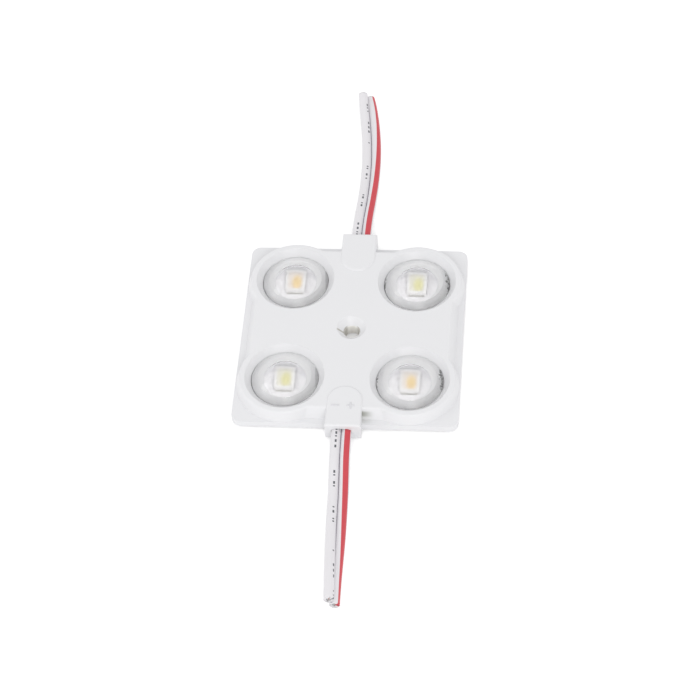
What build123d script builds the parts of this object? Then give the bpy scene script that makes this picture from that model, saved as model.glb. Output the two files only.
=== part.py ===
from build123d import *
import os
from math import atan, cos, degrees, hypot, radians, sin, tan

os.makedirs("parts", exist_ok=True)

# Sizes are in millimetres. The module lies on its back on z = 0, and y runs along its two cable tails.

# Adhesive pads on the back, one each side of the screw hole
liner_thickness = 0.1
tape_thickness = 0.25
pad_margin = 3.0
pad_gap = 7.0
pad_corner = 1.0

# Circuit board
board_thickness = 1.0
board_gap = 0.15

# Light sources: package, window filled with phosphor, and a terminal at each end
led_width = 2.8
led_length = 3.5
led_height = 0.75
led_corner = 0.15
led_mark = 0.3
window_rim = 0.35
window_corner = 0.4
window_depth = 0.35
window_slope = 25.0
terminal_thickness = 0.12
terminal_length = 0.8
terminal_reach = 0.1
terminal_width = 2.2

# Lenses: flange on the board, upright neck, sloping side and dome, over a hollow that clears the source
lens_radius = 5.35
flange_width = 0.65
flange_height = 0.5
neck_height = 1.05
side_slope = 1.05
dome_height = 1.5
lens_crown = 1.5
led_clearance = 0.66
led_headroom = 1.15

# Regulator chip and resistors, one at each side of the board
parts_inset = 6.5
chip_width = 1.6
chip_length = 2.9
chip_height = 0.9
chip_standoff = 0.05
chip_bevel = 0.11
lead_width = 0.4
lead_pitch = 0.95
lead_thickness = 0.13
lead_bend = 0.3
lead_foot = 0.35
resistor_length = 3.2
resistor_width = 1.6
resistor_height = 0.55
resistor_cap = 0.5
resistor_pitch = 4.4

# Two-core cable, one core plain and one striped: each has a copper conductor, stripped from a little way
# inside the gland
core_diameter = 1.6
core_gap = 0.06
conductor_diameter = 0.76
strand_gap = 0.02
stripped_reach = 1.1
rear_lean = 0.05
front_lean = -0.22
bend_share = 0.45

# Solder joints that hold the conductors on the board
solder_gap = 0.12
solder_cover = 0.07
joint_length = 2.2
joint_width = 1.3
joint_round = 0.3

# Housing
lens_gap = 0.1
funnel_width = 0.95
funnel_depth = 1.0
boss_rim = 0.9
boss_draft = 0.6
boss_margin = 0.1
bay_width = 6.4
bay_wall = 0.7
bay_shoulder = 1.0
bay_clearance = 0.15
seat_gap = 0.05
lip_height = 0.45
ledge_over_board = 0.2
ledge_width = 1.0
wall_slope = 1.0
skirt = 2.0
plate_corner = 1.5
recess_corner = 3.0
edge_round = 0.35
corner_round = 0.8
screw_radius = 1.2
countersink_radius = 2.35
countersink_angle = 90.0
pillar_wall = 1.1
pillar_gap = 0.15
gland_cheek = 1.22
gland_reach = 1.75
gland_inlay = 3.3
gland_rise = 0.2
gland_round = 0.35
bore_gap = 0.05

# Levels above the surface that the module lies on
back_z = liner_thickness + tape_thickness
board_top = back_z + board_thickness
plate_top = board_top + ledge_over_board
shoulder_z = board_top + flange_height + seat_gap
body_top = shoulder_z + lip_height + funnel_depth
gland_top = body_top + gland_rise
cable_z = board_top + solder_gap + conductor_diameter / 2
joint_height = solder_gap + conductor_diameter + solder_cover
bay_height = max(chip_standoff + chip_height, joint_height, resistor_height) + bay_clearance

# Plan of the housing, worked out from the lenses that it holds
flange_radius = lens_radius + flange_width
lens_bore = lens_radius + lens_gap
flange_bore = flange_radius + lens_gap
funnel_radius = lens_bore + funnel_width
boss_top_radius = funnel_radius + boss_rim
boss_foot_radius = boss_top_radius + boss_draft
lens_pitch = bay_width + 2 * (bay_wall + flange_bore)
plate_side = lens_pitch + 2 * (boss_foot_radius + boss_margin)
wall_foot = plate_side / 2 - ledge_width
wall_top = wall_foot - wall_slope
recess_half = plate_side / 2 - skirt
bay_end = recess_half - bay_shoulder
chip_x = bay_end - parts_inset
resistor_x = -chip_x
pillar_radius = screw_radius + pillar_wall
mouth_y = plate_side / 2 + gland_reach
core_pitch = core_diameter + core_gap
core_start = bay_end + stripped_reach - mouth_y
gland_width = core_pitch + core_diameter + 2 * gland_cheek
lens_places = {
    "rear_left": (-lens_pitch / 2, lens_pitch / 2),
    "rear_right": (lens_pitch / 2, lens_pitch / 2),
    "front_left": (-lens_pitch / 2, -lens_pitch / 2),
    "front_right": (lens_pitch / 2, -lens_pitch / 2),
}
leans = {1: rear_lean, -1: front_lean}


def keep(piece, name):
    """Labels a finished piece and writes it as a STEP file of that name."""
    piece.label = name
    export_step(piece, f"parts/{name}.step")


def cap_radius(base_radius, height):
    """Radius of the sphere whose cap has this base radius and height."""
    return (base_radius**2 + height**2) / (2 * height)


# Housing: one moulding with four bosses, a screw pillar, an open back for the board and a gland at each end
with BuildPart() as housing:
    with BuildSketch(Plane.XY.offset(back_z)):
        RectangleRounded(plate_side, plate_side, plate_corner)
    extrude(amount=plate_top - back_z)

    # Raised body between the bosses, with sloping walls set in from the plate's edge
    for section_plane in (Plane.XZ, Plane.YZ):
        with BuildSketch(section_plane):
            with BuildLine():
                Polyline(
                    (-wall_foot, plate_top),
                    (-wall_top, body_top),
                    (wall_top, body_top),
                    (wall_foot, plate_top),
                    close=True,
                )
            make_face()
        extrude(amount=lens_pitch / 2, both=True)

    # Round boss about each lens, with drafted sides
    with Locations(*[(x, y, plate_top) for x, y in lens_places.values()]):
        Cone(
            boss_foot_radius,
            boss_top_radius,
            body_top - plate_top,
            align=(Align.CENTER, Align.CENTER, Align.MIN),
        )
    upright = housing.edges().filter_by(
        lambda edge: edge.bounding_box().size.Z > plate_top - back_z + edge_round
    )
    inner_corners = upright.filter_by(lambda edge: hypot(edge.center().X, edge.center().Y) < plate_side / 2)
    fillet(inner_corners, corner_round)
    rim = housing.faces().filter_by(Axis.Z).sort_by(Axis.Z)[-1].outer_wire()
    fillet(rim.edges(), edge_round)

    # Gland at each end: a tongue with a round inner end, proud of the body
    for side in (1, -1):
        tongue_y = plate_side / 2 - gland_inlay
        with BuildSketch(Plane.XY.offset(back_z)):
            with Locations((0, side * (tongue_y + mouth_y) / 2)):
                Rectangle(gland_width, mouth_y - tongue_y)
            with Locations((0, side * tongue_y)):
                Circle(gland_width / 2)
        extrude(amount=gland_top - back_z)
    tongues = housing.faces().filter_by(Axis.Z).group_by(Axis.Z)[-1]
    fillet(tongues.edges(), gland_round)

    # Funnel and bore for each lens, and the seat for its flange
    funnel_angle = 2 * degrees(atan(funnel_width / funnel_depth))
    with Locations(*[(x, y, body_top) for x, y in lens_places.values()]):
        CounterSinkHole(lens_bore, funnel_radius, body_top - board_top, funnel_angle)
    with BuildSketch(Plane.XY.offset(board_top)):
        with Locations(*lens_places.values()):
            Circle(flange_bore)
    extrude(amount=shoulder_z - board_top, mode=Mode.SUBTRACT)

    # Open back for the board, and crossed bays above it for the parts and wires
    with BuildSketch(Plane.XY.offset(back_z)):
        RectangleRounded(2 * recess_half, 2 * recess_half, recess_corner)
        Circle(pillar_radius, mode=Mode.SUBTRACT)
    extrude(amount=board_thickness, mode=Mode.SUBTRACT)
    with BuildSketch(Plane.XY.offset(board_top)):
        Rectangle(2 * bay_end, bay_width)
        Rectangle(bay_width, 2 * bay_end)
        Circle(pillar_radius, mode=Mode.SUBTRACT)
    extrude(amount=bay_height, mode=Mode.SUBTRACT)

    # Flat bore for the cable through each gland
    for side, lean in leans.items():
        with BuildSketch(Plane.XZ.offset(-side * bay_end)):
            with Locations((lean, cable_z)):
                SlotCenterToCenter(core_pitch, core_diameter + 2 * bore_gap)
        extrude(amount=-side * (mouth_y - bay_end), mode=Mode.SUBTRACT)

    # Countersunk screw hole down the pillar
    with Locations((0, 0, body_top)):
        CounterSinkHole(screw_radius, countersink_radius, body_top, countersink_angle)

keep(housing.part, "housing")

# Circuit board with a hole for the pillar
with BuildPart() as circuit_board:
    board_side = 2 * (recess_half - board_gap)
    with BuildSketch(Plane.XY.offset(back_z)):
        RectangleRounded(board_side, board_side, recess_corner)
        Circle(pillar_radius + pillar_gap, mode=Mode.SUBTRACT)
    extrude(amount=board_thickness)

keep(circuit_board.part, "circuit_board")

# Lens: turned profile with a domed top, and a domed hollow over the source
lens_height = led_height + led_headroom + lens_crown
rim_height = lens_height - dome_height
rim_radius = lens_radius - side_slope
hollow_radius = hypot(led_width, led_length) / 2 + led_clearance
hollow_height = led_height + led_headroom
with BuildPart() as lens:
    with BuildSketch(Plane.XZ):
        with BuildLine():
            Polyline(
                (hollow_radius, board_top),
                (flange_radius, board_top),
                (flange_radius, board_top + flange_height),
                (lens_radius, board_top + flange_height),
                (lens_radius, board_top + neck_height),
                (rim_radius, board_top + rim_height),
            )
            crown = (0, board_top + lens_height)
            RadiusArc((rim_radius, board_top + rim_height), crown, -cap_radius(rim_radius, dome_height))
            ceiling = (0, board_top + hollow_height)
            Line(crown, ceiling)
            RadiusArc(ceiling, (hollow_radius, board_top), cap_radius(hollow_radius, hollow_height))
        make_face()
    revolve(axis=Axis.Z)

# Source package: white cup with a tapered window and one cut corner
with BuildPart() as led_package:
    with BuildSketch(Plane.XY.offset(board_top + terminal_thickness)) as outline:
        Rectangle(led_width, led_length)
        corners = outline.vertices().sort_by(lambda corner: corner.X + corner.Y)
        fillet(corners[:3], led_corner)
        chamfer(corners[3], led_mark)
    extrude(amount=led_height - terminal_thickness)
    with BuildSketch(Plane.XY.offset(board_top + led_height)) as window:
        RectangleRounded(led_width - 2 * window_rim, led_length - 2 * window_rim, window_corner)
    extrude(amount=-window_depth, taper=window_slope, mode=Mode.SUBTRACT)

# Phosphor that fills the window level with its rim
with BuildPart() as led_phosphor:
    add(window.sketch)
    extrude(amount=-window_depth, taper=window_slope)

for corner, (x, y) in lens_places.items():
    keep(lens.part.moved(Location((x, y, 0))), f"lens_{corner}")
    keep(led_package.part.moved(Location((x, y, 0))), f"led_package_{corner}")
    keep(led_phosphor.part.moved(Location((x, y, 0))), f"led_phosphor_{corner}")

# Terminals under the two ends of each source
with BuildPart() as led_terminals:
    terminal_y = led_length / 2 + terminal_reach - terminal_length / 2
    with BuildSketch(Plane.XY.offset(board_top)):
        with Locations(*lens_places.values()):
            with GridLocations(0, 2 * terminal_y, 1, 2):
                Rectangle(terminal_width, terminal_length)
    extrude(amount=terminal_thickness)

keep(led_terminals.part, "led_terminals")

# Regulator chip and its bent leads
with BuildPart() as driver_chip:
    with BuildSketch(Plane.XY.offset(board_top + chip_standoff)):
        with Locations((chip_x, 0)):
            Rectangle(chip_width, chip_length)
    extrude(amount=chip_height)
    chamfer(driver_chip.faces().sort_by(Axis.Z)[-1].edges(), chip_bevel)

keep(driver_chip.part, "driver_chip")

with BuildPart() as driver_leads:
    lead_z = board_top + chip_standoff + chip_height / 2
    for side in (1, -1):
        bend_x = chip_width / 2 + lead_bend
        with BuildSketch(Plane.XZ) as lead_section:
            with BuildLine():
                Polyline(
                    (chip_x + side * chip_width / 2, lead_z),
                    (chip_x + side * bend_x, lead_z),
                    (chip_x + side * bend_x, board_top + lead_thickness),
                    (chip_x + side * (bend_x + lead_foot), board_top + lead_thickness),
                    (chip_x + side * (bend_x + lead_foot), board_top),
                    (chip_x + side * (bend_x - lead_thickness), board_top),
                    (chip_x + side * (bend_x - lead_thickness), lead_z - lead_thickness),
                    (chip_x + side * chip_width / 2, lead_z - lead_thickness),
                    close=True,
                )
            make_face()
        for step in (-1, 0, 1):
            section = lead_section.sketch.moved(Location((0, step * lead_pitch, 0)))
            extrude(section, amount=lead_width / 2, both=True)

keep(driver_leads.part, "driver_leads")

# Chip resistors and their end caps
with BuildPart() as resistor_bodies:
    with BuildSketch(Plane.XY.offset(board_top)):
        with Locations((resistor_x, 0)):
            with GridLocations(resistor_pitch, 0, 2, 1):
                Rectangle(resistor_width, resistor_length - 2 * resistor_cap)
    extrude(amount=resistor_height)

keep(resistor_bodies.part, "resistor_bodies")

with BuildPart() as resistor_caps:
    with BuildSketch(Plane.XY.offset(board_top)):
        with Locations((resistor_x, 0)):
            with GridLocations(resistor_pitch, resistor_length - resistor_cap, 2, 2):
                Rectangle(resistor_width, resistor_cap)
    extrude(amount=resistor_height)

keep(resistor_caps.part, "resistor_caps")

# Solder joints: a rounded mound on the board about each stripped conductor
joint_y = bay_end - bay_clearance - joint_length / 2
joint_places = []
for side, lean in leans.items():
    for hand in (1, -1):
        joint_places.append((lean + hand * core_pitch / 2, side * joint_y))
with BuildPart() as solder_joints:
    with BuildSketch(Plane.XY.offset(board_top)):
        with Locations(*joint_places):
            SlotOverall(joint_length, joint_width, rotation=90)
    extrude(amount=joint_height)
    fillet(solder_joints.faces().filter_by(Axis.Z).group_by(Axis.Z)[-1].edges(), joint_round)
    with Locations(*[(x, y, cable_z) for x, y in joint_places]):
        Cylinder(
            conductor_diameter / 2 + strand_gap,
            joint_length,
            rotation=(90, 0, 0),
            mode=Mode.SUBTRACT,
        )

keep(solder_joints.part, "solder_joints")

# Adhesive pads and the liners that cover them
pad_length = plate_side - 2 * pad_margin
pad_width = (plate_side - pad_gap) / 2 - pad_margin
for name, bottom, thickness in (
    ("adhesive_pads", liner_thickness, tape_thickness),
    ("release_liners", 0, liner_thickness),
):
    with BuildPart() as pads:
        with BuildSketch(Plane.XY.offset(bottom)):
            with GridLocations(0, pad_gap + pad_width, 1, 2):
                RectangleRounded(pad_length, pad_width, pad_corner)
        extrude(amount=thickness)
    keep(pads.part, name)


def lying(twist):
    """Height of the cable's middle where its lower core lies on the surface, turned by twist degrees."""
    return core_diameter / 2 + core_pitch / 2 * sin(radians(twist))


# Each tail's route: distance past the gland's mouth, sideways place, height of the middle, and twist in
# degrees, which lifts the plain core above the striped one
rear_tail = (
    (core_start, rear_lean, cable_z, 0),
    (3.25, rear_lean, cable_z, 0),
    (10.25, 0.45, lying(0), 0),
    (16.75, 0.58, lying(0), 0),
    (22.25, 0.28, lying(0), 0),
    (26.75, -0.25, lying(6), 6),
    (29.75, -0.72, lying(18), 18),
    (31.95, -1.08, lying(31), 31),
    (33.5, -1.38, lying(43), 43),
)
front_tail = (
    (core_start, front_lean, cable_z, 0),
    (3.25, front_lean, cable_z, 0),
    (10.25, 0.09, lying(4), 4),
    (16.25, 0.23, lying(18), 18),
    (20.25, 0.34, lying(31), 31),
    (23.45, 0.42, lying(43), 43),
    (26.25, 0.5, lying(52), 52),
    (28.65, 0.58, lying(58), 58),
    (30.95, 0.67, lying(62), 62),
)


def core_points(tail, side, hand):
    """Route of one core: hand is -1 for the plain core and 1 for the striped one beside it."""
    points = []
    for reach, sideways, height, twist in tail:
        across = hand * core_pitch / 2 * cos(radians(twist))
        drop = hand * core_pitch / 2 * sin(radians(twist))
        points.append(Vector(sideways + across, side * (mouth_y + reach), height - drop))
    return points


def bend_radii(points):
    """Radius of the tangent arc at each corner that takes up a share of the shorter run beside it."""
    radii = []
    for before, corner, after in zip(points, points[1:], points[2:]):
        run = min((corner - before).length, (after - corner).length)
        turn = (corner - before).get_angle(after - corner)
        radii.append(bend_share * run / tan(radians(turn / 2)))
    return radii


# Cable cores: insulation tube and the conductor that runs on to its solder joint
for end, side, tail in (("rear", 1, rear_tail), ("front", -1, front_tail)):
    for marking, hand in (("plain", -1), ("striped", 1)):
        points = core_points(tail, side, hand)
        radii = bend_radii(points)
        print(f"{end} {marking} bend radii, mm:", ", ".join(f"{radius:.0f}" for radius in radii))
        with BuildPart() as insulation:
            with BuildLine():
                route = FilletPolyline(*points, radius=radii)
            with BuildSketch(Plane(route @ 0, z_dir=route % 0)):
                Circle(core_diameter / 2)
                Circle(conductor_diameter / 2 + strand_gap, mode=Mode.SUBTRACT)
            sweep()
        section = insulation.part.faces().filter_by(GeomType.PLANE)[0].area
        print(f"  length {route.length:.2f}, volume {insulation.part.volume:.3f}, "
              f"section x length {section * route.length:.3f}")
        keep(insulation.part, f"{end}_{marking}_core")
        joint_end = Vector(points[0].X, side * (joint_y - joint_length / 2), points[0].Z)
        with BuildPart() as conductor:
            with BuildLine():
                wire_route = FilletPolyline(joint_end, *points[1:], radius=radii)
            with BuildSketch(Plane(wire_route @ 0, z_dir=wire_route % 0)):
                Circle(conductor_diameter / 2)
            sweep()
        keep(conductor.part, f"{end}_{marking}_conductor")
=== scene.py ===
"""Looks of the LED module: finishes for its moulded, optical and electrical pieces, its two cable tails,
and a plain white studio seen from the photograph's viewpoint."""

import logging
import math
from dataclasses import dataclass, field
from enum import Enum
from functools import cache, reduce
from itertools import accumulate

import bmesh
import bpy
from mathutils import Matrix, Vector


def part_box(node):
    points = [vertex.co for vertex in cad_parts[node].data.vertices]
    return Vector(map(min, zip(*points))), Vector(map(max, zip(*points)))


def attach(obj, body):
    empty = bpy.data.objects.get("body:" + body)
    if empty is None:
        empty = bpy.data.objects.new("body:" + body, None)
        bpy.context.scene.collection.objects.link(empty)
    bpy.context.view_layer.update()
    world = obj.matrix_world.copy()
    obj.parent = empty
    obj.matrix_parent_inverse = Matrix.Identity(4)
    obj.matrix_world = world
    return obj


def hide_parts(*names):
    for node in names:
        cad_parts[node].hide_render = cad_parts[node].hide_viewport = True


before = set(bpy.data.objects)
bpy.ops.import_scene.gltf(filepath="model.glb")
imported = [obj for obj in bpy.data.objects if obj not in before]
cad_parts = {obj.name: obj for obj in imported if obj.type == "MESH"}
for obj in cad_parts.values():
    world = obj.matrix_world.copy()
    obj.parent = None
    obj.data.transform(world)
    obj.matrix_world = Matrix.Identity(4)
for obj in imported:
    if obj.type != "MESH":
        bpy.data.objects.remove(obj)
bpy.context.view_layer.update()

log = logging.getLogger("led_module")

MM = 0.001
IMAGE_SIDE = 700
ROOT = "root"
CORE_DIAMETER = 1.6
CORE_PITCH = 1.66

Pair = tuple[float, float]
Colour = tuple[float, float, float]
Socket = bpy.types.NodeSocket
Given = Socket | Colour | float
Material = bpy.types.Material
Mesh = bmesh.types.BMesh
Vert = bmesh.types.BMVert
Edge = bmesh.types.BMEdge

CLEAR: Colour = (1.0, 1.0, 1.0)


class Corner(Enum):
    """Places of the four lenses, by the names that the part gives them."""

    REAR_LEFT = "rear_left"
    REAR_RIGHT = "rear_right"
    FRONT_LEFT = "front_left"
    FRONT_RIGHT = "front_right"


class Hand(Enum):
    """Side of a core in its tail: -1 for the plain core, 1 for the striped core beside it."""

    PLAIN = -1
    STRIPED = 1


class End(Enum):
    """End of the module that a tail leaves from, as the sign of its direction along y."""

    REAR = 1
    FRONT = -1


# Shader kit


@dataclass
class Graph:
    """A node tree under construction."""

    tree: bpy.types.NodeTree

    def add(self, kind: str, **settings: object) -> bpy.types.Node:
        """Adds a node.

        Args:
            kind: Blender's name for the node type.
            **settings: Properties to set on the node.

        Returns:
            The new node.
        """
        node = self.tree.nodes.new(kind)
        for key, value in settings.items():
            setattr(node, key, value)
        return node

    def link(self, source: Socket, target: Socket) -> None:
        """Links two sockets."""
        self.tree.links.new(source, target)

    def feed(self, value: Given, target: Socket) -> None:
        """Links a socket to an input, or writes a constant on it.

        Args:
            value: The socket or the constant.
            target: The input.
        """
        if isinstance(value, Socket):
            self.link(value, target)
        elif isinstance(value, tuple) and target.type == "RGBA":
            target.default_value = (*value, 1.0)
        else:
            target.default_value = value

    def result(
        self, kind: str, given: dict[str | int, Given], output: str | int = 0, **settings: object
    ) -> Socket:
        """Adds a node and feeds its inputs.

        Args:
            kind: Blender's name for the node type.
            given: A socket or a constant for each input, by its name or number.
            output: Name or number of the output that is wanted.
            **settings: Properties to set on the node.

        Returns:
            That output's socket.
        """
        node = self.add(kind, **settings)
        for key, value in given.items():
            self.feed(value, node.inputs[key])
        return node.outputs[output]

    def math(self, operation: str, *values: Socket | float) -> Socket:
        """Calculates with numbers, by Blender's name for the operation."""
        return self.result("ShaderNodeMath", dict(enumerate(values)), operation=operation)

    def product(self, *values: Socket | float) -> Socket:
        """Multiplies all the values."""
        return reduce(lambda left, right: self.math("MULTIPLY", left, right), values)

    def apart(self, value: Socket, middle: float) -> Socket:
        """Finds how far a value is from a middle one."""
        return self.math("ABSOLUTE", self.math("SUBTRACT", value, middle))

    def noise(
        self, place: Socket, scale: Socket | float, detail: float = 2.0, roughness: float = 0.5
    ) -> Socket:
        """Reads a noise.

        Args:
            place: Socket of the coordinates.
            scale: Grains per metre.
            detail: Number of finer layers.
            roughness: Weight of those layers.

        Returns:
            Socket of its value, from 0 to 1.
        """
        given = {"Vector": place, "Scale": scale, "Detail": detail, "Roughness": roughness}
        return self.result("ShaderNodeTexNoise", given)


class Kind(Enum):
    """Kinds of value that pass into a shader group."""

    PLACE = "NodeSocketVector"
    COLOUR = "NodeSocketColor"
    NUMBER = "NodeSocketFloat"


def start_group(name: str, output: str, **inputs: Kind) -> tuple[Graph, bpy.types.NodeOutputs, Socket]:
    """Starts a shader group that more than one finish uses.

    Args:
        name: Name of the group.
        output: Name of its output, which is of the same kind as the input of that name, or else a number.
        **inputs: Kind of each input.

    Returns:
        The group under construction, its inputs by name, and the socket that its result feeds.
    """
    tree = bpy.data.node_groups.new(name, "ShaderNodeTree")
    for title, kind in inputs.items():
        tree.interface.new_socket(title, in_out="INPUT", socket_type=kind.value)
    kind = inputs.get(output, Kind.NUMBER)
    tree.interface.new_socket(output, in_out="OUTPUT", socket_type=kind.value)
    graph = Graph(tree)
    return graph, graph.add("NodeGroupInput").outputs, graph.add("NodeGroupOutput").inputs[0]


@cache
def colour_drift() -> bpy.types.NodeTree:
    """Makes the cloudy change of a colour over a surface, as in a moulding or a paint.

    Returns:
        The group. Amount is the largest share of the colour that it takes away.
    """
    kinds = {"Vector": Kind.PLACE, "Colour": Kind.COLOUR, "Amount": Kind.NUMBER, "Scale": Kind.NUMBER}
    graph, given, result = start_group("colour_drift", "Colour", **kinds)
    clouds = graph.math("MULTIPLY", graph.noise(given["Vector"], given["Scale"], 3.0), given["Amount"])
    share = graph.math("SUBTRACT", 1.0, clouds)
    shade = {0: given["Colour"], "Scale": share}
    graph.link(graph.result("ShaderNodeVectorMath", shade, operation="SCALE"), result)
    return graph.tree


@cache
def gloss_drift() -> bpy.types.NodeTree:
    """Makes uneven polish, as handling and a mould's own finish leave it.

    Returns:
        The group. Amount is the most that it adds to the roughness.
    """
    kinds = {"Vector": Kind.PLACE, "Roughness": Kind.NUMBER, "Amount": Kind.NUMBER, "Scale": Kind.NUMBER}
    graph, given, result = start_group("gloss_drift", "Roughness", **kinds)
    patches = graph.noise(given["Vector"], given["Scale"], 4.0)
    spread = graph.math("MULTIPLY_ADD", patches, given["Amount"], given["Roughness"])
    spread.node.use_clamp = True
    graph.link(spread, result)
    return graph.tree


@cache
def fine_grain() -> bpy.types.NodeTree:
    """Makes the height of a fine moulded or cast grain.

    Returns:
        The group.
    """
    graph, given, result = start_group("fine_grain", "Height", Vector=Kind.PLACE, Scale=Kind.NUMBER)
    graph.link(graph.noise(given["Vector"], given["Scale"], roughness=0.55), result)
    return graph.tree


class Shading(Graph):
    """A material under construction, with its Principled shader, its output and its object coordinates."""

    def __init__(self, name: str) -> None:
        """Makes the material.

        Args:
            name: Its name.
        """
        self.material = bpy.data.materials.new(name)
        self.material.use_nodes = True
        super().__init__(self.material.node_tree)
        self.shader = self.tree.nodes["Principled BSDF"]
        self.surface = self.tree.nodes["Material Output"].inputs["Surface"]
        self.place = self.add("ShaderNodeTexCoord").outputs["Object"]

    def group(self, tree: bpy.types.NodeTree, **values: Colour | float) -> Socket:
        """Places a shared group, with values for its inputs, on the surface's own coordinates."""
        return self.result("ShaderNodeGroup", {"Vector": self.place, **values}, node_tree=tree)

    def set(self, **values: Given) -> None:
        """Feeds the shader's own sockets, by their names with underscores for spaces."""
        for key, value in values.items():
            self.feed(value, self.shader.inputs[key.replace("_", " ")])

    def ramp(self, value: Socket, start: float, end: float) -> Socket:
        """Eases from 0 at the start to 1 at the end, which may be the lesser of the two."""
        given = {"Value": value, "From Min": start, "From Max": end}
        return self.result("ShaderNodeMapRange", given, interpolation_type="SMOOTHSTEP")

    def overlay(self, share: Socket, cover: Socket | Colour) -> None:
        """Lays a colour over the one that already feeds the shader.

        Args:
            share: Socket of the share of the cover.
            cover: Colour on top.
        """
        under = self.shader.inputs["Base Color"].links[0].from_socket
        given = {"Factor": share, "A": under, "B": cover}
        self.set(Base_Color=self.result("ShaderNodeMix", given, "Result", data_type="RGBA"))

    def axes(self) -> dict[str, Socket]:
        """Splits the object coordinates.

        Returns:
            Sockets of X, Y and Z.
        """
        node = self.add("ShaderNodeSeparateXYZ")
        self.link(self.place, node.inputs["Vector"])
        return {axis: node.outputs[axis] for axis in "XYZ"}

    def attribute(self, name: str, output: str = "Fac") -> Socket:
        """Reads an attribute of the mesh."""
        return self.add("ShaderNodeAttribute", attribute_name=name).outputs[output]

    def drift_colour(self, colour: Colour, amount: float, scale: float) -> Socket:
        """Adds a cloudy colour.

        Args:
            colour: Linear colour at its lightest.
            amount: Largest share of the colour that the clouds take away.
            scale: Clouds per metre.

        Returns:
            The colour's socket.
        """
        return self.group(colour_drift(), Colour=colour, Amount=amount, Scale=scale)


def srgb(red: int, green: int, blue: int) -> Colour:
    """Linear colour of an 8-bit sRGB one."""
    shares = (value / 255 for value in (red, green, blue))
    return tuple(share / 12.92 if share <= 0.04045 else ((share + 0.055) / 1.055) ** 2.4 for share in shares)


@dataclass(frozen=True)
class Finish:
    """A finish with cloudy colour, uneven polish and a fine grain."""

    name: str
    colour: Colour
    clouds: float = 0.04
    cloud_scale: float = 150.0
    roughness: float = 0.4
    unevenness: float = 0.1
    patch_scale: float = 400.0
    grain_scale: float = 5000.0
    grain_strength: float = 0.25
    grain_depth: float = 0.02 * MM
    metallic: float = 0.0
    ior: float = 1.48

    def shading(self) -> Shading:
        """Builds the finish.

        Returns:
            The finished material with its nodes.
        """
        made = Shading(self.name)
        polish = {"Roughness": self.roughness, "Amount": self.unevenness, "Scale": self.patch_scale}
        height = made.group(fine_grain(), Scale=self.grain_scale)
        grain = {"Strength": self.grain_strength, "Distance": self.grain_depth, "Height": height}
        made.set(
            Base_Color=made.drift_colour(self.colour, self.clouds, self.cloud_scale),
            Roughness=made.group(gloss_drift(), **polish),
            Normal=made.result("ShaderNodeBump", grain),
            Metallic=self.metallic,
            IOR=self.ior,
        )
        return made

    def material(self) -> Material:
        """Material of the finish."""
        return self.shading().material


@dataclass(frozen=True)
class Veil:
    """Tint that covers one side of a lens: painted shade, painted light, or dark beads. Its limits are shares
    of the lens's radius along its bearing. Where it has beads, so many to the metre, it shows in them alone."""

    tint: Colour
    bearing: float
    start: float
    end: float
    streaks: float = 0.0
    streak_scale: float = 2500.0
    beads: float = 0.0
    bead_edge: Pair = (0.48, 0.56)

    def cover(self, made: Shading) -> None:
        """Lays the veil's painted shade, painted light or beads over the lens's tint.

        Args:
            made: The material under construction.
        """
        bearing = math.radians(self.bearing)
        given = {0: made.attribute("lens_place", "Vector"), 1: (math.cos(bearing), math.sin(bearing), 0.0)}
        reach = made.result("ShaderNodeVectorMath", given, "Value", operation="DOT_PRODUCT")
        share = made.ramp(reach, self.start, self.end)
        if self.beads:
            share = made.product(share, made.ramp(made.noise(made.place, self.beads), *self.bead_edge))
        made.overlay(share, made.drift_colour(self.tint, self.streaks, self.streak_scale))


@dataclass(frozen=True)
class ClearAcrylic(Finish):
    """Clear moulded acrylic, which lets the light for shadows through."""

    colour: Colour = CLEAR
    clouds: float = 0.01
    cloud_scale: float = 300.0
    roughness: float = 0.015
    unevenness: float = 0.02
    patch_scale: float = 500.0
    grain_scale: float = 900.0
    grain_strength: float = 0.06
    ior: float = 1.49
    veils: tuple[Veil, ...] = ()
    shade: Colour = (0.99, 0.99, 0.99)

    def shading(self) -> Shading:
        """Builds the finish: refraction to the eye, and a clear pane to shadow rays.

        Returns:
            The finished material with its nodes.
        """
        made = super().shading()
        for veil in self.veils:
            veil.cover(made)
        made.set(Transmission_Weight=1.0)
        shadow = made.result("ShaderNodeLightPath", {}, "Is Shadow Ray")
        pane = made.result("ShaderNodeBsdfTransparent", {"Color": self.shade})
        either = {0: shadow, 1: made.shader.outputs["BSDF"], 2: pane}
        made.link(made.result("ShaderNodeMixShader", either), made.surface)
        return made


# Mesh kit


def add_object(name: str, data: bpy.types.ID) -> bpy.types.Object:
    """Adds an object to the scene.

    Args:
        name: Its name.
        data: Its mesh, curve, lamp or camera.

    Returns:
        The object.
    """
    made = bpy.data.objects.new(name, data)
    bpy.context.scene.collection.objects.link(made)
    return made


def new_piece(name: str, bm: Mesh, material: Material) -> bpy.types.Object:
    """Turns a bmesh into a piece of the module.

    Args:
        name: Name of the piece.
        bm: Its mesh, in metres in the part's frame. It is freed.
        material: Its finish.

    Returns:
        The piece, which rides on the module.
    """
    bmesh.ops.recalc_face_normals(bm, faces=bm.faces)
    mesh = bpy.data.meshes.new(name)
    bm.to_mesh(mesh)
    bm.free()
    mesh.materials.append(material)
    piece = add_object(name, mesh)
    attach(piece, ROOT)
    log.info("built %s of %d faces", name, len(mesh.polygons))
    return piece


def dress(material: Material, *nodes: str) -> None:
    """Gives CAD nodes one finish.

    Args:
        material: The finish.
        *nodes: Names of the nodes.
    """
    for node in nodes:
        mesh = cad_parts[node].data
        mesh.materials.clear()
        mesh.materials.append(material)
        log.info("dressed %s in %s", node, material.name)


def edges_among(bm: Mesh, verts: list[Vert]) -> list[Edge]:
    """Finds the edges whose two ends are among some vertices."""
    return [edge for edge in bm.edges if all(vertex in verts for vertex in edge.verts)]


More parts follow.
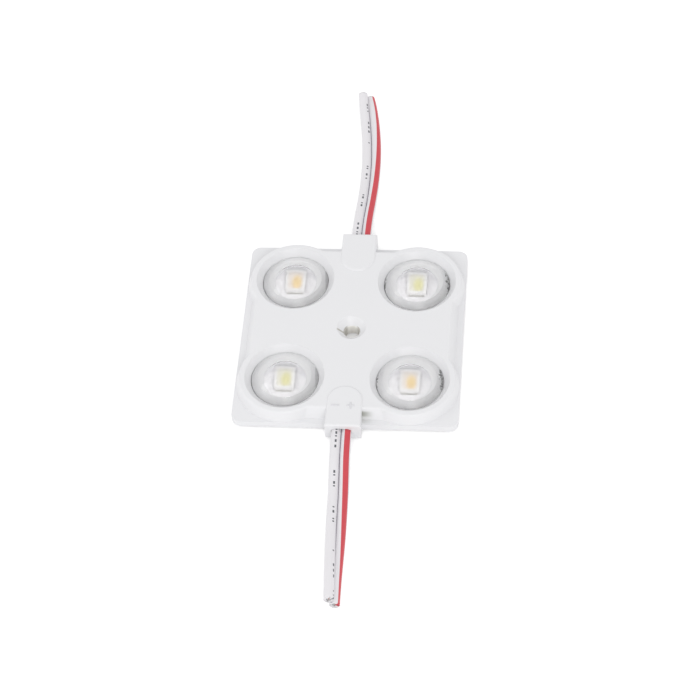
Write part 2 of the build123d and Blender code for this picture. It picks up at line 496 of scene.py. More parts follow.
def close_ends(bm: Mesh, rings: list[list[Vert]]) -> None:
    """Closes the two ends of a tube that was swept as these rings."""
    for rim in (rings[0], rings[-1]):
        bmesh.ops.contextual_create(bm, geom=edges_among(bm, rim))


def distances(frames: list[Matrix]) -> list[float]:
    """Measures how far along the line of their places each of some frames is."""
    places = [matrix.translation for matrix in frames]
    return [0.0, *accumulate((after - before).length for before, after in zip(places, places[1:]))]


# Sub-assemblies


@dataclass
class Housing:
    """White moulded housing, with the polarity marks on its front gland."""

    colour: Colour = srgb(232, 232, 234)
    mark_colour: Colour = srgb(220, 220, 223)
    # Painted light inside the screw bore, where its walls would be in shade.
    bore_painted_light_colour: Colour = srgb(255, 253, 248)
    bore_radius: float = 1.2 * MM
    bore_painted_light_edge: Pair = (1.04, 1.01)
    # Painted shade at the left and right of the bore's lip; the same colour marks the scuff beside the bore.
    lip_shade_and_scuff_colour: Colour = srgb(186, 183, 176)
    lip_width: float = 0.13 * MM
    lip_sides: Pair = (0.6 * MM, 1.05 * MM)
    scuff_at: Pair = (-1.75 * MM, -0.32 * MM)
    scuff_length: Pair = (0.75 * MM, 0.4 * MM)
    scuff_width: Pair = (0.26 * MM, 0.1 * MM)
    # Painted shadow of the front gland, on the sloping wall and ledge to its right.
    gland_shadow_colour: Colour = srgb(162, 164, 156)
    gland_shadow_side: Pair = (5.0 * MM, 2.88 * MM)
    gland_shadow_overlap: float = 0.04 * MM
    gland_shadow_upper: Pair = (-16.2 * MM, -16.45 * MM)
    gland_shadow_heart: Pair = (-16.85 * MM, -16.6 * MM)
    gland_shadow_lower: Pair = (-18.1 * MM, -17.2 * MM)
    gland_shadow_depths: Pair = (0.6, 0.32)
    gland_top: float = 3.55 * MM
    mark_height: float = 0.1 * MM
    mark_reach: float = 0.62 * MM
    mark_half_width: float = 0.16 * MM
    mark_bevel: float = 0.06 * MM
    minus_at: Pair = (-1.4 * MM, -15.75 * MM)
    plus_at: Pair = (1.0 * MM, -15.75 * MM)

    def _plastic(self, name: str, colour: Colour) -> Shading:
        """Builds satin white plastic with a fine spark-eroded grain.

        Args:
            name: Name of the material.
            colour: Its colour at its lightest.

        Returns:
            The material with its nodes.
        """
        return Finish(
            name,
            colour,
            clouds=0.02,
            cloud_scale=90.0,
            roughness=0.34,
            unevenness=0.12,
            grain_scale=7000.0,
            grain_strength=0.2,
        ).shading()

    def _gland_shadow(self, made: Shading) -> Socket:
        """Masks the painted shadow that the front gland casts into the corner between its right cheek and the
        sloping wall.

        Args:
            made: The material under construction.

        Returns:
            Socket of 1 at the painted shadow's heart and 0 outside it.
        """
        axes = made.axes()
        clear = made.ramp(axes["X"], *self.gland_shadow_side)
        right_of_gland = made.math("GREATER_THAN", axes["X"], self.gland_shadow_side[1] - self.gland_shadow_overlap)
        upper = made.ramp(axes["Y"], *self.gland_shadow_upper)
        heart = made.ramp(axes["Y"], *self.gland_shadow_heart)
        lower = made.ramp(axes["Y"], *self.gland_shadow_lower)
        depth = made.math("MULTIPLY_ADD", heart, *self.gland_shadow_depths)
        return made.product(clear, right_of_gland, upper, lower, depth)

    def _lip_shade_and_scuff(self, made: Shading, reach: Socket) -> Socket:
        """Masks the painted shade at the two sides of the bore's lip, and the scuff that a screw left beside
        it.

        Args:
            made: The material under construction.
            reach: Socket of the distance to the bore's axis.

        Returns:
            Socket of the painted shade and the scuff, from 0 to 1.
        """
        axes = made.axes()
        away = made.apart(reach, self.bore_radius + self.lip_width / 2)
        ring = made.ramp(away, self.lip_width, self.lip_width / 3)
        sides = made.ramp(made.math("ABSOLUTE", axes["X"]), *self.lip_sides)
        across = made.ramp(made.apart(axes["X"], self.scuff_at[0]), *self.scuff_length)
        thin = made.ramp(made.apart(axes["Y"], self.scuff_at[1]), *self.scuff_width)
        return made.math("MAXIMUM", made.product(ring, sides), made.product(across, thin))

    def _moulding(self) -> Material:
        """Builds the moulding's plastic, with painted light inside the screw bore, painted shade at the sides
        of the bore's lip beside a scuff, and the front gland's painted shadow.

        Returns:
            The material.
        """
        made = self._plastic("white_moulding", self.colour)
        axes = made.axes()
        squares = [made.product(axes[axis], axes[axis]) for axis in "XY"]
        reach = made.math("SQRT", made.math("ADD", *squares))
        # Painted light inside the screw bore, paler than the moulding.
        bore = made.ramp(reach, *(self.bore_radius * share for share in self.bore_painted_light_edge))
        made.overlay(bore, self.bore_painted_light_colour)
        # Painted shade at the sides of the bore's lip, and the scuff beside the bore.
        made.overlay(self._lip_shade_and_scuff(made, reach), self.lip_shade_and_scuff_colour)
        # Painted shadow of the front gland, to its right.
        made.overlay(self._gland_shadow(made), self.gland_shadow_colour)
        return made.material

    def _mark(self, bm: Mesh, place: Pair, outline: list[Pair]) -> None:
        """Raises one mark from its outline.

        Args:
            bm: The marks' mesh.
            place: Middle of the mark on the gland.
            outline: Its corners about that place, anticlockwise.
        """
        foot_z = self.gland_top - self.mark_height
        foot = bm.faces.new([bm.verts.new((place[0] + x, place[1] + y, foot_z)) for x, y in outline])
        made = bmesh.ops.extrude_face_region(bm, geom=[foot])["geom"]
        raised = [v for v in made if isinstance(v, Vert)]
        bmesh.ops.translate(bm, vec=(0.0, 0.0, 2 * self.mark_height), verts=raised)
        rim = [e for e in made if isinstance(e, Edge)]
        bmesh.ops.bevel(
            bm, geom=rim, offset=self.mark_bevel, segments=2, profile=0.5, affect="EDGES", material=-1
        )

    def _marks(self) -> Mesh:
        """Builds the minus and the plus.

        Returns:
            Their mesh.
        """
        bm = bmesh.new()
        long, wide = self.mark_reach, self.mark_half_width
        self._mark(bm, self.minus_at, [(-long, -wide), (long, -wide), (long, wide), (-long, wide)])
        quarter = [(long, -wide), (long, wide), (wide, wide)]
        turns = ((1, 0), (0, 1), (-1, 0), (0, -1))
        self._mark(bm, self.plus_at, [(x * c - y * s, x * s + y * c) for c, s in turns for x, y in quarter])
        return bm

    def build(self) -> None:
        """Dresses the moulding and adds its marks."""
        dress(self._moulding(), "housing")
        marked = self._plastic("raised_marks", self.mark_colour).material
        new_piece("polarity_marks", self._marks(), marked)


class Surface(Enum):
    """Surfaces of a lens, as the order of its materials."""

    DOME = 0
    HOLLOW = 1
    SIDE = 2
    NECK = 3
    UNDERSIDE = 4


@dataclass
class Lens:
    """A turned lens: flange, upright neck, sloping side and dome over a domed hollow. Sizes are in
    millimetres."""

    base: float = 1.35
    lift: float = 0.02
    flange_radius: float = 6.0
    flange_height: float = 0.5
    radius: float = 5.35
    neck_height: float = 1.05
    rim_radius: float = 4.3
    rim_height: float = 1.9
    crown: float = 3.4
    hollow_radius: float = 2.901
    hollow_height: float = 1.9
    edge: float = 0.09
    sharp_angle: float = 15.0
    weld: float = 0.002
    turns: int = 192
    arc_steps: int = 30

    def _cap(self, bm: Mesh, foot: Vert, top: float) -> None:
        """Draws the arc of a spherical cap from a foot up to the axis.

        Args:
            bm: The profile.
            foot: Vertex that the arc starts from.
            top: Height of the cap's crown, in metres.
        """
        reach, rise = foot.co.x, top - foot.co.z
        sphere = (reach**2 + rise**2) / (2 * rise)
        middle = Vector((0.0, 0.0, top - sphere))
        angle = -math.atan2(reach, foot.co.z - middle.z)
        made = bmesh.ops.spin(bm, geom=[foot], cent=middle, axis=(0, 1, 0), angle=angle, steps=self.arc_steps)
        last = [g for g in made["geom_last"] if isinstance(g, Vert)][0]
        last.co.x = 0.0

    def mesh(self) -> Mesh:
        """Builds one lens about the axis x = y = 0.

        Returns:
            The closed mesh, with its materials numbered by Surface.
        """
        bm = bmesh.new()
        places = (
            (self.hollow_radius, self.lift),
            (self.flange_radius, self.lift),
            (self.flange_radius, self.flange_height),
            (self.radius, self.flange_height),
            (self.radius, self.neck_height),
            (self.rim_radius, self.rim_height),
        )
        verts = [bm.verts.new((r * MM, 0.0, (self.base + z) * MM)) for r, z in places]
        for before, after in zip(verts, verts[1:]):
            bm.edges.new((before, after))
        self._cap(bm, verts[-1], (self.base + self.crown) * MM)
        self._cap(bm, verts[0], (self.base + self.hollow_height) * MM)
        bmesh.ops.spin(
            bm,
            geom=bm.verts[:] + bm.edges[:],
            cent=(0, 0, 0),
            axis=(0, 0, 1),
            angle=math.tau,
            steps=self.turns,
            use_merge=True,
        )
        bmesh.ops.remove_doubles(bm, verts=bm.verts, dist=self.weld * MM)
        bmesh.ops.recalc_face_normals(bm, faces=bm.faces)
        limit = math.radians(self.sharp_angle)
        sharp = [e for e in bm.edges if e.is_manifold and e.calc_face_angle() > limit]
        bmesh.ops.bevel(
            bm, geom=sharp, offset=self.edge * MM, segments=3, profile=0.5, affect="EDGES", material=-1,
            clamp_overlap=True,
        )
        for face in bm.faces:
            face.smooth = True
            face.material_index = self._surface(face).value
        place = bm.verts.layers.float_vector.new("lens_place")
        for vertex in bm.verts:
            vertex[place] = vertex.co / (self.radius * MM)
        return bm

    def _surface(self, face: bmesh.types.BMFace) -> Surface:
        """Tells which surface of the lens a face is on.

        Args:
            face: A face of the turned mesh.

        Returns:
            The surface.
        """
        middle = face.calc_center_median()
        reach, height = math.hypot(middle.x, middle.y) / MM, middle.z / MM - self.base
        if height < self.lift + self.edge:
            return Surface.UNDERSIDE
        if reach < self.hollow_radius and face.normal.z < 0:
            return Surface.HOLLOW
        if height < self.neck_height:
            return Surface.NECK
        if height < self.rim_height - self.edge:
            return Surface.SIDE
        return Surface.DOME


@dataclass(frozen=True)
class Phosphor:
    """Silicone filled with phosphor, which pales where it thins out towards the window's sloping walls."""

    name: str
    heart: Colour
    rim: Colour
    pitch: float = 20.0 * MM
    half_width: float = 0.88 * MM
    half_length: float = 1.5 * MM
    drift: Pair = (0.2 * MM, -0.35 * MM)
    fade: Pair = (-0.05, 1.15)

    def material(self) -> Material:
        """Builds the material from the distance to the heart of the nearest window.

        Returns:
            The material.
        """
        made = Finish(
            self.name, self.heart, clouds=0.05, cloud_scale=1500.0, roughness=0.3, grain_scale=12000.0
        ).shading()
        axes = made.axes()
        squares = []
        for axis, half, drift in zip("XY", (self.half_width, self.half_length), self.drift):
            folded = made.apart(axes[axis], drift)
            share = made.math("DIVIDE", made.math("SUBTRACT", folded, self.pitch / 2), half)
            squares.append(made.product(share, share))
        made.overlay(made.ramp(made.math("ADD", *squares), *self.fade), self.rim)
        return made.material


@dataclass
class Optics:
    """Clear lenses over the light sources."""

    lens: Lens = field(default_factory=Lens)
    warm: Phosphor = Phosphor("phosphor_warm", srgb(255, 228, 176), srgb(246, 238, 230))
    lemon: Phosphor = Phosphor("phosphor_lemon", srgb(242, 238, 184), srgb(244, 242, 228))
    cup_colour: Colour = srgb(253, 252, 251)
    seat_colour: Colour = srgb(252, 252, 253)
    # Painted shade on the rear half of each lens's hollow, seen through the dome.
    far_wall_shade: Veil = Veil((0.88, 0.88, 0.89), bearing=90.0, start=0.02, end=0.15)
    # Painted shade: a dark crescent near the right edge of each lens, on its side and its neck.
    crescent_shade: Veil = Veil((0.48, 0.48, 0.49), bearing=5.0, start=0.895, end=0.935, streaks=0.4)
    # Painted shade towards the front right of each lens's sloping side, and painted light on its rear half.
    side_shade_and_light: tuple[Veil, ...] = (
        Veil((0.76, 0.76, 0.76), bearing=-45.0, start=0.0, end=1.0, streaks=0.2),
        Veil(CLEAR, bearing=90.0, start=0.3, end=0.75),
    )
    # Painted shade on the left of each lens's neck, and painted light on its rear half.
    neck_shade_and_light: tuple[Veil, ...] = (
        Veil((0.25, 0.25, 0.26), bearing=180.0, start=0.7, end=0.9),
        Veil(CLEAR, bearing=90.0, start=0.35, end=0.7),
    )
    # Dark beads along the rim of the right-hand lenses, at their right and left edges.
    beads: tuple[Veil, ...] = (
        Veil((0.06, 0.06, 0.06), bearing=8.0, start=0.84, end=0.9, beads=2000.0),
        Veil((0.06, 0.06, 0.06), bearing=180.0, start=0.93, end=0.97, beads=2000.0),
    )

    def _turn(self, corner: Corner, acrylic: list[Material]) -> None:
        """Makes the lens of one corner, which stands for the CAD lens there.

        Args:
            corner: The lens's place.
            acrylic: Finishes of its surfaces, in the order of Surface.
        """
        node = f"lens_{corner.value}"
        low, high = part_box(node)
        bm = self.lens.mesh()
        bmesh.ops.translate(bm, vec=((low.x + high.x) / 2, (low.y + high.y) / 2, 0.0), verts=bm.verts)
        piece = new_piece(f"clear_{node}", bm, acrylic[0])
        for material in acrylic[1:]:
            piece.data.materials.append(material)
        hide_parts(node)

    def _acrylic(self, name: str, beads: tuple[Veil, ...] = ()) -> list[Material]:
        """Makes the finishes of a lens.

        Args:
            name: Start of their names.
            beads: Veils of the dark beads along its rim.

        Returns:
            Finishes of its surfaces, in the order of Surface.
        """
        rim = (self.crescent_shade, *beads)
        finishes = (
            ClearAcrylic(f"{name}_dome"),
            ClearAcrylic(
                f"{name}_hollow",
                veils=(self.far_wall_shade,),
                roughness=1.0,
                unevenness=0.05,
                grain_strength=0.0,
                ior=1.04,
            ),
            ClearAcrylic(
                f"{name}_side",
                (0.94, 0.94, 0.95),
                veils=(*self.side_shade_and_light, *rim),
                roughness=0.2,
                unevenness=0.1,
                grain_strength=0.3,
            ),
            ClearAcrylic(
                f"{name}_neck",
                # Grey tint of the neck: painted shade in the gap between the lens and the housing.
                (0.55, 0.55, 0.56),
                veils=(*self.neck_shade_and_light, *rim),
                roughness=0.3,
                unevenness=0.1,
                grain_strength=0.3,
            ),
            Finish(f"{name}_seat", self.seat_colour, clouds=0.01, roughness=0.6, grain_scale=3000.0),
        )
        return [finish.material() for finish in finishes]

    def build(self) -> None:
        """Turns the lenses and dresses the packages and their phosphor."""
        plain = self._acrylic("plain_acrylic")
        beaded = self._acrylic("beaded_acrylic", self.beads)
        cup = Finish("white_cup", self.cup_colour, roughness=0.45, grain_scale=9000.0).material()
        warm, lemon = self.warm.material(), self.lemon.material()
        looks = {
            Corner.REAR_LEFT: (plain, warm),
            Corner.FRONT_LEFT: (plain, lemon),
            Corner.REAR_RIGHT: (beaded, lemon),
            Corner.FRONT_RIGHT: (beaded, warm),
        }
        for corner, (acrylic, phosphor) in looks.items():
            self._turn(corner, acrylic)
            dress(cup, f"led_package_{corner.value}")
            dress(phosphor, f"led_phosphor_{corner.value}")


@dataclass
class Board:
    """Circuit board with its soldered parts, which keep their CAD shapes."""

    mask: Finish = Finish(
        "white_solder_mask", srgb(252, 251, 253), clouds=0.02, roughness=0.3, grain_scale=2500.0
    )
    tin: Finish = Finish(
        "tin_plate",
        srgb(205, 204, 198),
        clouds=0.15,
        cloud_scale=2500.0,
        roughness=0.22,
        unevenness=0.2,
        metallic=1.0,
    )
    solder: Finish = Finish(
        "solder", srgb(190, 192, 194), clouds=0.2, cloud_scale=1800.0, roughness=0.2, metallic=1.0
    )
    epoxy: Finish = Finish("black_epoxy", srgb(28, 28, 30), clouds=0.25, roughness=0.5, grain_scale=8000.0)
    glaze: Finish = Finish("dark_glaze", srgb(34, 34, 38), clouds=0.2, roughness=0.25, grain_scale=4000.0)

    def build(self) -> None:
        """Dresses the board and what is soldered to it."""
        dress(self.mask.material(), "circuit_board")
        dress(self.tin.material(), "led_terminals", "driver_leads", "resistor_caps")
        dress(self.solder.material(), "solder_joints")
        dress(self.epoxy.material(), "driver_chip")
        dress(self.glaze.material(), "resistor_bodies")


@dataclass
class AdhesiveBack:
    """Foam pads on the back and the liners that cover them, which keep their CAD shapes."""

    foam: Finish = Finish("foam_tape", srgb(226, 226, 220), clouds=0.12, cloud_scale=2500.0, roughness=0.75)
    paper: Finish = Finish("liner_paper", srgb(232, 222, 190), clouds=0.1, cloud_scale=900.0, roughness=0.45)

    def build(self) -> None:
        """Dresses the pads and their liners."""
        dress(self.foam.material(), "adhesive_pads")
        dress(self.paper.material(), "release_liners")


@dataclass(frozen=True)
class Station:
    """A point of a tail's route, in millimetres and degrees: how far past the gland's mouth, how far to
    the side, how high the cable's middle is, how far the striped core has turned down under the plain one,
    and how far the cores' markings have rolled ahead of that."""

    reach: float
    sideways: float
    height: float
    twist: float
    roll: float = 0.0


@dataclass(frozen=True)
class MarkedVinyl:
    """Soft vinyl with markings that follow the core: a stripe along it, and a row of plain ink ticks."""

    base: Finish
    mark_colour: Colour
    bearing: float
    half_width: float
    softness: float
    tick_pitch: float = 0.0
    tick_share: float = 0.5
    ticks_in_group: float = 7.0
    fading: float = 0.15
    fading_scale: float = 1200.0

    def _band(self, made: Shading) -> Socket:
        """Masks the band that the marking keeps to, by how far round the core it is from the cable's top.

        Args:
            made: The material under construction.

        Returns:
            Socket of 1 in the band and 0 beside it.
        """
        angle = made.math("ARCTAN2", made.attribute("outward"), made.attribute("upward"))
        away = made.apart(angle, math.radians(self.bearing))
        edges = (math.radians(self.half_width + sign * self.softness) for sign in (1, -1))
        return made.ramp(away, *edges)

    def _ticks(self, made: Shading) -> Socket:
        """Masks ticks of uneven length along the core, in groups with gaps between them.

        Args:
            made: The material under construction.

        Returns:
            Socket of 1 on a tick and 0 off it.
        """
        place = made.result("ShaderNodeCombineXYZ", {"X": made.attribute("along")})
        pitches = (self.tick_pitch, self.tick_pitch * self.ticks_in_group)
        noises = [made.noise(place, 1.0 / pitch, detail=0.0) for pitch in pitches]
        return made.product(*(made.math("GREATER_THAN", noise, self.tick_share) for noise in noises))

    def material(self) -> Material:
        """Builds the vinyl with its marking.

        Returns:
            The material.
        """
        made = self.base.shading()
        mask = self._band(made)
        if self.tick_pitch:
            mask = made.product(mask, self._ticks(made))
        made.overlay(mask, made.drift_colour(self.mark_colour, self.fading, self.fading_scale))
        return made.material


@dataclass
class Tail:
    """A flat two-core tail: two insulated cores with stranded conductors, joined by a thin web."""

    end: End
    stations: tuple[Station, ...]
    lengths: dict[Hand, float]
    mouth_y: float = 19.75
    joint_y: float = 12.65
    conductor_diameter: float = 0.76
    bore_diameter: float = 0.8
    sides: int = 28
    strand_sides: int = 10
    outer_strands: int = 6
    lay: float = 14.0
    route_steps: int = 10
    web_thickness: float = 0.2
    web_sink: float = 0.1

    def centreline(self, hand: Hand) -> list[Vector]:
        """Points read from the smooth line of one core.

        Args:
            hand: Which core.

        Returns:
            Points, from the board outwards, along a NURBS spline that the stations control.
        """
        curve = bpy.data.curves.new("route", "CURVE")
        curve.dimensions = "3D"
        spline = curve.splines.new("NURBS")
        spline.points.add(len(self.stations) - 1)
        for control, station in zip(spline.points, self.stations):
            turn = math.radians(station.twist)
            across = hand.value * CORE_PITCH / 2 * math.cos(turn)
            drop = hand.value * CORE_PITCH / 2 * math.sin(turn)
            y = self.end.value * (self.mouth_y + station.reach)
            control.co = (*(Vector((station.sideways + across, y, station.height - drop)) * MM), 1.0)
        spline.order_u = 3
        spline.use_endpoint_u = True
        spline.resolution_u = self.route_steps
        holder = add_object("route", curve)
        mesh = bpy.data.meshes.new_from_object(holder)
        line = [vertex.co.copy() for vertex in mesh.vertices]
        bpy.data.objects.remove(holder)
        bpy.data.curves.remove(curve)
        bpy.data.meshes.remove(mesh)
        return line

    @staticmethod
    def frames(line: list[Vector], partner: list[Vector]) -> list[Matrix]:
        """Cross-section frames along a line.

        Args:
            line: Points of the line.
            partner: Points of the core beside it, one for each.

        Returns:
            For each point a matrix whose x points to the partner and whose z runs along the line.
        """
        found = []
        for index, point in enumerate(line):
            before, after = line[max(index - 1, 0)], line[min(index + 1, len(line) - 1)]
            along = (after - before).normalized()
            aside = partner[index] - point
            aside = (aside - along * aside.dot(along)).normalized()
            matrix = Matrix((aside, along.cross(aside), along)).transposed().to_4x4()
            matrix.translation = point
            found.append(matrix)
        return found

    @staticmethod
    def sweep(bm: Mesh, ring: list[Vert], frames: list[Matrix]) -> list[list[Vert]]:
        """Extrudes a closed ring along cross-section frames.

        Args:
            bm: The mesh.
            ring: Vertices of the ring, drawn about the origin in the plane z = 0, joined by edges.
            frames: Matrices that place the ring, one after the other.

        Returns:
            The ring's vertices at each frame.
        """
        rings = [ring]
        bmesh.ops.transform(bm, matrix=frames[0], verts=ring)
        edges = edges_among(bm, ring)
        for before, after in zip(frames, frames[1:]):
            made = bmesh.ops.extrude_edge_only(bm, edges=edges)["geom"]
            ring = [g for g in made if isinstance(g, Vert)]
            edges = [g for g in made if isinstance(g, Edge) and all(v in ring for v in g.verts)]
            bmesh.ops.transform(bm, matrix=after @ before.inverted(), verts=ring)
            rings.append(ring)
        return rings

    def roll(self, place: Vector) -> float:
        """Finds how far the markings have rolled ahead of the cable's twist.

        Args:
            place: A point of a core's line.

        Returns:
            The angle in radians.
        """
        reach = self.end.value * place.y / MM - self.mouth_y
        for before, after in zip(self.stations, self.stations[1:]):
            if reach < after.reach:
                share = max(0.0, (reach - before.reach) / (after.reach - before.reach))
                return math.radians(before.roll + share * (after.roll - before.roll))
        return math.radians(self.stations[-1].roll)

    def insulation(self, hand: Hand, frames: list[Matrix]) -> Mesh:
        """Tube of one core's insulation, with a bore for its conductor and softened cut ends.

        Args:
            hand: Which core.
            frames: Its cross-section frames.

        Returns:
            The tube's mesh, with the attributes along, in metres from the board, and upward and outward,
            which run from -1 to 1 towards the cable's top face and away from the other core.
        """
        bm = bmesh.new()
        along = bm.verts.layers.float.new("along")
        upward = bm.verts.layers.float.new("upward")
        outward = bm.verts.layers.float.new("outward")
        loops = []
        for diameter in (CORE_DIAMETER, self.bore_diameter):
            made = bmesh.ops.create_circle(bm, cap_ends=False, radius=diameter / 2 * MM, segments=self.sides)
            loops.append(self.sweep(bm, made["verts"], frames))
        for last in (0, -1):
            bmesh.ops.bridge_loops(bm, edges=[edge for loop in loops for edge in edges_among(bm, loop[last])])
        for index, (matrix, distance) in enumerate(zip(frames, distances(frames))):
            inverse = matrix.inverted()
            roll = hand.value * self.roll(matrix.translation)
            for loop in loops:
                for vertex in loop[index]:
                    place = (inverse @ vertex.co) / (CORE_DIAMETER / 2 * MM)
                    rise, reach = hand.value * self.end.value * place.y, -place.x
                    vertex[along] = distance
                    vertex[upward] = rise * math.cos(roll) + reach * math.sin(roll)
                    vertex[outward] = reach * math.cos(roll) - rise * math.sin(roll)
        for face in bm.faces:
            face.smooth = True
        return bm

    def strands(self, frames: list[Matrix]) -> Mesh:
        """Seven twisted strands of one conductor.

        Args:
            frames: Cross-section frames along the conductor.

        Returns:
            Mesh of the strands.
        """
        bm = bmesh.new()
        wire = self.conductor_diameter / 3 * MM
        for strand in range(self.outer_strands + 1):
            offset = Matrix.Translation((wire if strand else 0.0, 0, 0))
            turned = []
            for matrix, distance in zip(frames, distances(frames)):
                angle = math.tau * (strand / self.outer_strands + distance / (self.lay * MM))
                turned.append(matrix @ Matrix.Rotation(angle, 4, "Z") @ offset)
            made = bmesh.ops.create_circle(bm, cap_ends=False, radius=wire / 2, segments=self.strand_sides)
            close_ends(bm, self.sweep(bm, made["verts"], turned))
        for face in bm.faces:
            face.smooth = len(face.verts) == 4
        return bm

    def web(self, line: list[Vector], partner: list[Vector]) -> Mesh:
        """Thin web between the cores.

        Args:
            line: Points of the plain core.
            partner: Points of the striped core.

        Returns:
            Mesh of the web.
        """
        bm = bmesh.new()
        middle = [(a + b) / 2 for a, b in zip(line, partner)]
        width = (CORE_PITCH - CORE_DIAMETER + 2 * self.web_sink) * MM
        ring = bmesh.ops.create_circle(bm, cap_ends=False, radius=math.sqrt(0.5), segments=4)["verts"]
        bmesh.ops.rotate(bm, cent=(0, 0, 0), matrix=Matrix.Rotation(math.pi / 4, 3, "Z"), verts=ring)
        bmesh.ops.scale(bm, vec=(width, self.web_thickness * MM, 1.0), verts=ring)
        close_ends(bm, self.sweep(bm, ring, self.frames(middle, partner)))
        return bm

    def build(self, vinyl: dict[Hand, Material], seam_shade: Material, copper: Material) -> None:
        """Builds the tail's pieces.

        Args:
            vinyl: Finish of each core's insulation.
            seam_shade: Finish of the web between them, dark grey as painted shade in the groove.
            copper: Finish of the conductors.
        """
        title = self.end.name.lower()
        lines = {hand: self.centreline(hand) for hand in Hand}
        between = self.web(lines[Hand.PLAIN], lines[Hand.STRIPED])
        web = new_piece(f"{title}_web", between, seam_shade)
        for hand in Hand:
            marking = hand.name.lower()
            line = lines[hand]
            frames = self.frames(line, lines[Hand(-hand.value)])
            core = new_piece(
                f"{title}_{marking}_insulation",
                self.insulation(hand, frames),
                vinyl[hand],
            )
            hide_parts(f"{title}_{marking}_core")
            start = frames[0].copy()
            start.translation = Vector((line[0].x, self.end.value * self.joint_y * MM, line[0].z))
            wire = new_piece(f"{title}_{marking}_strands", self.strands([start, *frames]), copper)
            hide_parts(f"{title}_{marking}_conductor")


def lying(twist: float) -> float:
    """Height in millimetres of the cable's middle where its lower core lies on the surface.

    Args:
        twist: Turn of the cable in degrees.

    Returns:
        The height.
    """
    return CORE_DIAMETER / 2 + CORE_PITCH / 2 * math.sin(math.radians(twist))


@dataclass
class Cable:
    """Both tails of the module."""

    bore_height: float = 1.85
    start: float = -3.65
    rear_lean: float = 0.05
    front_lean: float = -0.22
    vinyl_colour: Colour = srgb(232, 230, 233)

    def rear(self) -> Tail:
        """Lays out the tail that runs back from the rear gland, bends to the left and turns on its side.

        Returns:
            The rear tail.
        """
        flat = lying(0)
        return Tail(
            End.REAR,
            (
                Station(self.start, self.rear_lean, self.bore_height, 0),
                Station(3.25, self.rear_lean, self.bore_height, 0),
                Station(10.25, 0.45, flat, 0, 2),
                Station(16.75, 0.58, flat, 0, 12),
                Station(22.25, 0.28, flat, 0, 24),
                Station(26.75, -0.25, lying(6), 6, 30),
                Station(29.75, -0.72, lying(18), 18, 25),
                Station(31.95, -1.08, lying(31), 31, 12),
                Station(33.5, -1.38, lying(43), 43),
            ),
            {Hand.PLAIN: 37.38, Hand.STRIPED: 37.39},
        )

    def front(self) -> Tail:
        """Lays out the tail that runs forward from the front gland and turns on its side all the way.

        Returns:
            The front tail.
        """
        return Tail(
            End.FRONT,
            (
                Station(self.start, self.front_lean, self.bore_height, 0),
                Station(3.25, self.front_lean, self.bore_height, 0),
                Station(10.25, 0.09, lying(4), 4),
                Station(16.25, 0.23, lying(18), 18),
                Station(20.25, 0.34, lying(31), 31),
                Station(23.45, 0.42, lying(43), 43),
                Station(26.25, 0.5, lying(52), 52),
                Station(28.65, 0.58, lying(58), 58),
                Station(30.95, 0.67, lying(62), 62),
            ),
            {Hand.PLAIN: 34.72, Hand.STRIPED: 34.66},
        )

    def build(self) -> None:
        """Builds both tails from one pair of vinyl finishes and one copper."""
        vinyl = {
            Hand.PLAIN: MarkedVinyl(
                Finish("inked_vinyl", self.vinyl_colour, roughness=0.36, grain_scale=3000.0),
                mark_colour=srgb(96, 98, 104),
                bearing=-8.0,
                half_width=11.0,
                softness=4.0,
                tick_pitch=0.5 * MM,
            ).material(),
            Hand.STRIPED: MarkedVinyl(
                Finish("striped_vinyl", self.vinyl_colour, roughness=0.36, grain_scale=3000.0),
                mark_colour=srgb(214, 74, 84),
                bearing=20.0,
                half_width=37.0,
                softness=4.0,
            ).material(),
        }
        # Dark grey web between the cores: painted shade in the groove between them.
        seam_shade = Finish("seam_painted_shade", srgb(150, 142, 156), clouds=0.25, cloud_scale=900.0, roughness=0.6)
        copper = Finish("copper", srgb(190, 120, 84), clouds=0.3, roughness=0.3, metallic=1.0)
        finishes = vinyl, seam_shade.material(), copper.material()
        for tail in (self.rear(), self.front()):
            tail.build(*finishes)


# Studio


@dataclass
class PhotoCamera:
    """Camera at the photograph's viewpoint. Angles are in degrees and lengths in millimetres."""

    target: tuple[float, float, float] = (-0.2412, -2.3004, 0.35)
    azimuth: float = 8.4196
    elevation: float = 52.0594
    roll: float = -5.264
    distance: float = 377.213
    focal_pixels: float = 2330.699
    sensor: float = 36.0
    clipping: Pair = (10.0, 10000.0)

    def build(self) -> None:
        """Makes the camera and sets it as the scene's."""
        azimuth, elevation, roll = (math.radians(a) for a in (self.azimuth, self.elevation, self.roll))
        back = Vector((
            math.sin(azimuth) * math.cos(elevation),
            -math.cos(azimuth) * math.cos(elevation),
            math.sin(elevation),
        ))
        level = Vector((math.cos(azimuth), math.sin(azimuth), 0.0))
        upright = back.cross(level)
        right = math.cos(roll) * level + math.sin(roll) * upright
        up = -math.sin(roll) * level + math.cos(roll) * upright
        data = bpy.data.cameras.new("photo_camera")
        data.sensor_fit = "HORIZONTAL"
        data.sensor_width = self.sensor
        data.lens = self.focal_pixels / IMAGE_SIDE * self.sensor
        data.clip_start, data.clip_end = (limit * MM for limit in self.clipping)
        camera = add_object("photo_camera", data)
        matrix = Matrix((right, up, back)).transposed().to_4x4()
        matrix.translation = (Vector(self.target) + back * self.distance) * MM
        camera.matrix_world = matrix
        bpy.context.scene.camera = camera


@dataclass(frozen=True)
class Lamp:
    """Round soft lamp that looks at the module. Its place and width are in metres and its power in watts."""

    name: str
    place: tuple[float, float, float]
    width: float
    power: float

    def build(self) -> None:
        """Hangs the lamp."""
        data = bpy.data.lights.new(self.name, "AREA")
        data.shape = "DISK"
        data.size = self.width
        data.energy = self.power
        aim = (-Vector(self.place)).to_track_quat("-Z", "Y").to_matrix().to_4x4()
        add_object(self.name, data).matrix_world = Matrix.Translation(self.place) @ aim


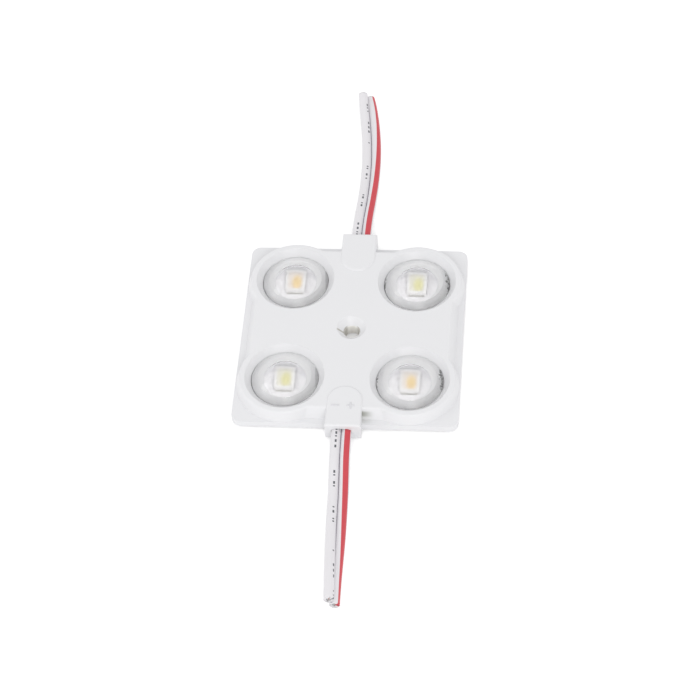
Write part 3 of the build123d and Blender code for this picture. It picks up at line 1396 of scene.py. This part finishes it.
@dataclass
class Studio:
    """White floor and soft lamps."""

    floor_half: float = 3.0
    floor_gap: float = 0.02 * MM
    floor_colour: float = 0.9
    floor_lift: float = 0.3
    world_strength: float = 0.855
    lamps: tuple[Lamp, ...] = (
        Lamp("key_lamp", (-0.45, -0.05, 0.3), 0.2, 0.2),
        Lamp("front_lamp", (0.12, -0.58, 0.45), 0.4, 1.25),
    )

    def floor(self) -> None:
        """Makes the floor, which the camera sees as white and which keeps the module's shadow."""
        bm = bmesh.new()
        bmesh.ops.create_grid(bm, x_segments=1, y_segments=1, size=self.floor_half)
        bmesh.ops.translate(bm, vec=(0.0, 0.0, -self.floor_gap), verts=bm.verts)
        mesh = bpy.data.meshes.new("floor")
        bm.to_mesh(mesh)
        bm.free()
        made = Shading("floor_white")
        made.set(Base_Color=(self.floor_colour,) * 3, Roughness=0.9, Specular_IOR_Level=0.1)
        rays = made.add("ShaderNodeLightPath").outputs
        seen = made.math("MAXIMUM", rays["Is Camera Ray"], rays["Is Glossy Ray"])
        through = made.math("MAXIMUM", seen, rays["Is Transmission Ray"])
        lift = {"Strength": made.math("MULTIPLY", through, self.floor_lift)}
        both = {0: made.shader.outputs["BSDF"], 1: made.result("ShaderNodeEmission", lift)}
        made.link(made.result("ShaderNodeAddShader", both), made.surface)
        mesh.materials.append(made.material)
        add_object("floor", mesh)

    def world(self) -> None:
        """Sets an even white surround: 1 to the camera, and the working strength to everything else."""
        world = bpy.data.worlds.new("studio")
        world.use_nodes = True
        graph = Graph(world.node_tree)
        surround = graph.tree.nodes["Background"].inputs
        graph.feed(CLEAR, surround["Color"])
        seen = graph.result("ShaderNodeLightPath", {}, "Is Camera Ray")
        given = {"Factor": seen, "A": self.world_strength, "B": 1.0}
        graph.link(graph.result("ShaderNodeMix", given, "Result"), surround["Strength"])
        bpy.context.scene.world = world

    def build(self) -> None:
        """Builds the floor, the surround and the lamps, and keeps colours as they are written."""
        self.floor()
        self.world()
        for lamp in self.lamps:
            lamp.build()
        bpy.context.scene.view_settings.view_transform = "Standard"


def main() -> None:
    """Builds the camera and the cables first, then dresses each sub-assembly and lights it."""
    logging.basicConfig(level=logging.INFO)
    PhotoCamera().build()
    Cable().build()
    for assembly in (Housing(), Optics(), Board(), AdhesiveBack(), Studio()):
        assembly.build()
        log.info("finished %s", type(assembly).__name__)


if __name__ == "__main__":
    main()
